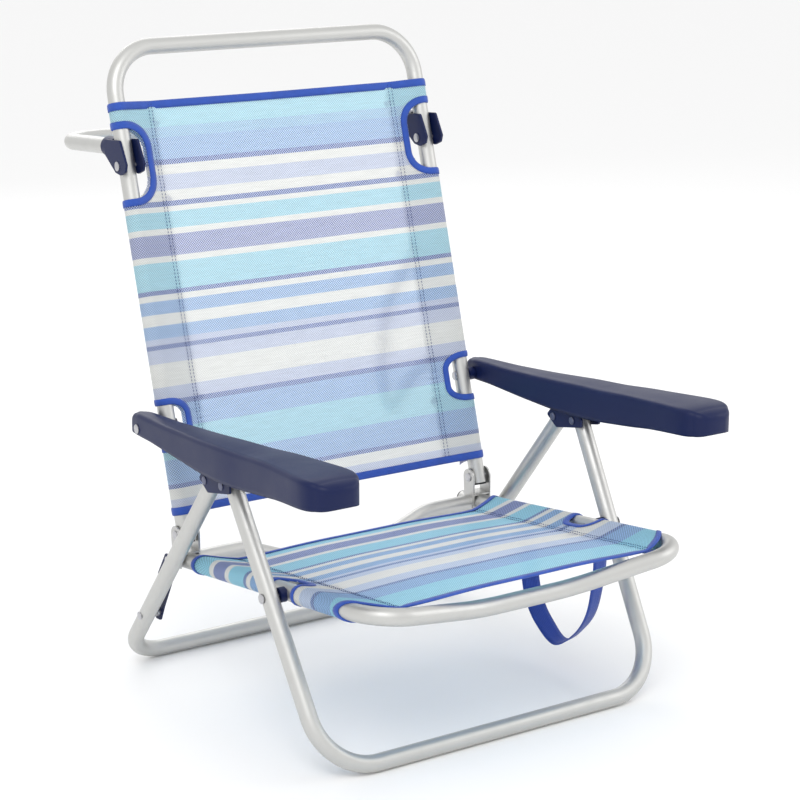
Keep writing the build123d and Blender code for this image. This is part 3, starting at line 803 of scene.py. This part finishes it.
# --- loose cloth tab behind the lower left of the back ----------------------------
def tab():
    rows = []
    w = 8
    line = smooth_path([back_at(*p) for p in TAB_POINTS], 8)
    for k, p in enumerate(line):
        t = k / (len(line) - 1)
        half = 0.004 + 0.026 * math.sin(min(1.0, t * 1.25) * math.pi / 2)
        row = []
        for q in range(w + 1):
            f = -1 + 2 * q / w
            wave = 0.0025 * math.sin(f * 2.4 + t * 4.0)
            bend = back_at(0, 0, wave + 0.003 * f) - back_at(0, 0, 0)
            droop = back_at(0, -0.004 * f * f) - back_at(0, 0)
            row.append(p + Vector((half * f * 0.55 - 0.012 * t, 0, 0)) + bend + droop)
        rows.append(row)
    ob = ribbon_mesh("loose_tab", rows, M_TAB, 0.0006)
    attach(ob, "back")


# (x, above the hinge, behind the back plane)
TAB_POINTS = [(0.224, 0.118, 0.0145), (0.247, 0.060, 0.020), (0.252, 0.022, 0.022)]
M_TAB = webbing("lavender_tab", srgb(196, 196, 222), 0.0022, 0.7)
tab()


# --- armrests -----------------------------------------------------------------------
# From the rear pivot to the front tip, in mm: y from the front floor bar, then z (TOP, LOW) or x (OUT, IN)
ARM_TOP = [(438.5, 360), (437.5, 364), (435, 367), (430, 368.8), (418, 369.6), (400, 370.5), (344, 372.2),
           (302, 375), (264, 377.5), (226, 380.5), (182, 384.5), (124, 388.5), (72, 394), (0, 399),
           (-34, 401), (-52, 400.8), (-62, 399.5), (-70, 396.5), (-75.5, 391)]
ARM_LOW = [(438.5, 342.5), (437.5, 341.5), (434, 341), (428, 340.8), (399, 341), (377, 341.5), (300, 339.5),
           (230, 338.5), (180, 340), (144, 342.5), (121, 345), (80, 350.5), (47, 355), (20, 359.5), (-10, 363),
           (-42, 366), (-62, 366.5), (-71, 367.5), (-75.5, 369)]
ARM_OUT = [(438.5, 278), (432, 280), (400, 282), (344, 286), (282, 290), (226, 295), (182, 298), (121, 300),
           (47, 305), (0, 311), (-30, 315), (-48, 315.5), (-58, 313), (-66, 308), (-72, 300), (-75.5, 290)]
ARM_IN = [(438.5, 259), (432, 257), (400, 256), (302, 252), (182, 248.5), (72, 245), (0, 243), (-30, 241.5),
          (-50, 242), (-60, 245), (-68, 250), (-73, 257), (-75.5, 266)]
ARM_REAR, ARM_FRONT = 438.5, -75.5
ARM_WALL = 0.0026


def table_at(table, y):
    if y >= table[0][0]:
        return table[0][1]
    for (ya, va), (yb, vb) in zip(table, table[1:]):
        if yb <= y <= ya:
            return va + (vb - va) * (ya - y) / (ya - yb)
    return table[-1][1]


def soft_at(table, y, reach):
    """Running mean over the table, narrower at the ends."""
    reach = min(reach, max(0.0, table[0][0] - y), max(0.0, y - table[-1][0]))
    if reach < 0.01:
        return table_at(table, y)
    return sum(table_at(table, y + reach * (k - 4) / 4) for k in range(9)) / 9


def arm_section(y):
    """Open section (x, z) in mm: up the inner wall, over the crowned top, down the outer wall."""
    xi, xo = soft_at(ARM_IN, y, 14), soft_at(ARM_OUT, y, 14)
    zt, zb = soft_at(ARM_TOP, y, 14), soft_at(ARM_LOW, y, 12)
    r = min(6.5, (zt - zb) * 0.45, (xo - xi) * 0.4)
    pts = []
    for k in range(9):
        pts.append((xi, zb + (zt - r - zb) * k / 8))
    for k in range(1, 8):
        a = math.pi - math.pi / 2 * k / 8
        pts.append((xi + r + r * math.cos(a), zt - r + r * math.sin(a)))
    for k in range(0, 13):
        t = k / 12
        crown = math.sin(math.pi * t)
        pts.append((xi + r + (xo - xi - 2 * r) * t, zt + crown))
    for k in range(1, 8):
        a = math.pi / 2 - math.pi / 2 * k / 8
        pts.append((xo - r + r * math.cos(a), zt - r + r * math.sin(a)))
    for k in range(9):
        pts.append((xo, zt - r - (zt - r - zb) * k / 8))
    return pts


def armrest(tag, sgn):
    ys = []
    y = ARM_REAR
    while y > ARM_FRONT:
        ys.append(y)
        y -= 1.0 if (y > 428 or y < -60) else (3.0 if y > 405 or y < -30 else 6.0)
    ys.append(ARM_FRONT)
    rows = []
    for y in ys:
        rows.append([side(sgn * x / 1000, y / 1000, z / 1000) for x, z in arm_section(y)])
    verts = [p for row in rows for p in row]
    w = len(rows[0])
    faces = []
    for j in range(len(rows) - 1):
        for i in range(w - 1):
            a = j * w + i
            f = (a, a + w, a + w + 1, a + 1)
            faces.append(f if sgn > 0 else tuple(reversed(f)))
    cap0 = tuple(range(w))
    cap1 = tuple((len(rows) - 1) * w + i for i in reversed(range(w)))
    faces.append(cap0 if sgn > 0 else tuple(reversed(cap0)))
    faces.append(cap1 if sgn > 0 else tuple(reversed(cap1)))
    ob = new_object("armrest_shell_" + tag, verts, faces, M_NAVY)
    bm = bmesh.new()
    bm.from_mesh(ob.data)
    bmesh.ops.recalc_face_normals(bm, faces=bm.faces)
    bm.to_mesh(ob.data)
    bm.free()
    top = max(ob.data.polygons, key=lambda p: p.center.z if len(p.vertices) == 4 else -1)
    if top.normal.z < 0:
        ob.data.flip_normals()
    thicken(ob, ARM_WALL, -1.0)
    for p in ob.data.polygons:
        p.use_smooth = True
    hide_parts("armrest_" + tag)
    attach(ob, "armrests")


armrest("left", 1)
armrest("right", -1)


# --- floor, light and camera -----------------------------------------------------------
def stage():
    bpy.ops.mesh.primitive_plane_add(size=30, location=(0, 0, -0.0005))
    floor = bpy.context.object
    floor.name = "floor"
    m = Mat("floor_white")
    m.bsdf.inputs["Base Color"].default_value = (0.93, 0.93, 0.93, 1)
    m.bsdf.inputs["Roughness"].default_value = 0.9
    m.bsdf.inputs["Specular IOR Level"].default_value = 0.1
    m.link(m.bump(m.noise(m.coords(), 40.0), 0.02, 0.001), m.bsdf.inputs["Normal"])
    floor.data.materials.append(m.mat)


def area(name, loc, target, size, power):
    """Soft rectangular lamp aimed at the target."""
    light = bpy.data.lights.new(name, "AREA")
    light.shape = "RECTANGLE"
    light.size, light.size_y = size
    light.energy = power
    ob = bpy.data.objects.new(name, light)
    bpy.context.scene.collection.objects.link(ob)
    ob.location = loc
    way = Vector(target) - Vector(loc)
    ob.rotation_euler = way.to_track_quat("-Z", "Y").to_euler()


stage()
area("key", (-1.6, -1.8, 2.6), (0, 0, 0.4), (1.8, 1.4), 30)
area("fill", (2.6, -1.6, 1.7), (0, 0, 0.4), (1.8, 1.8), 14)
area("back", (0.8, 2.8, 2.2), (0, 0, 0.4), (2.4, 1.6), 20)
world = bpy.data.worlds.new("studio")
bpy.context.scene.world = world
world.use_nodes = True
bg = world.node_tree.nodes["Background"]
bg.inputs[0].default_value = (1, 1, 1, 1)
bg.inputs[1].default_value = 1.0
bpy.context.scene.view_settings.view_transform = "Standard"

cam_data = bpy.data.cameras.new("camera")
cam_data.sensor_width = 36.0
cam_data.lens = 101.47
cam_data.clip_end = 100.0
cam = bpy.data.objects.new("camera", cam_data)
bpy.context.scene.collection.objects.link(cam)
cam.location = (-1.5742, -2.1129 + SHIFT_Y, 1.1308)
cam.rotation_euler = (math.radians(90 - 14.75), 0, math.radians(-33.96))
bpy.context.scene.camera = cam
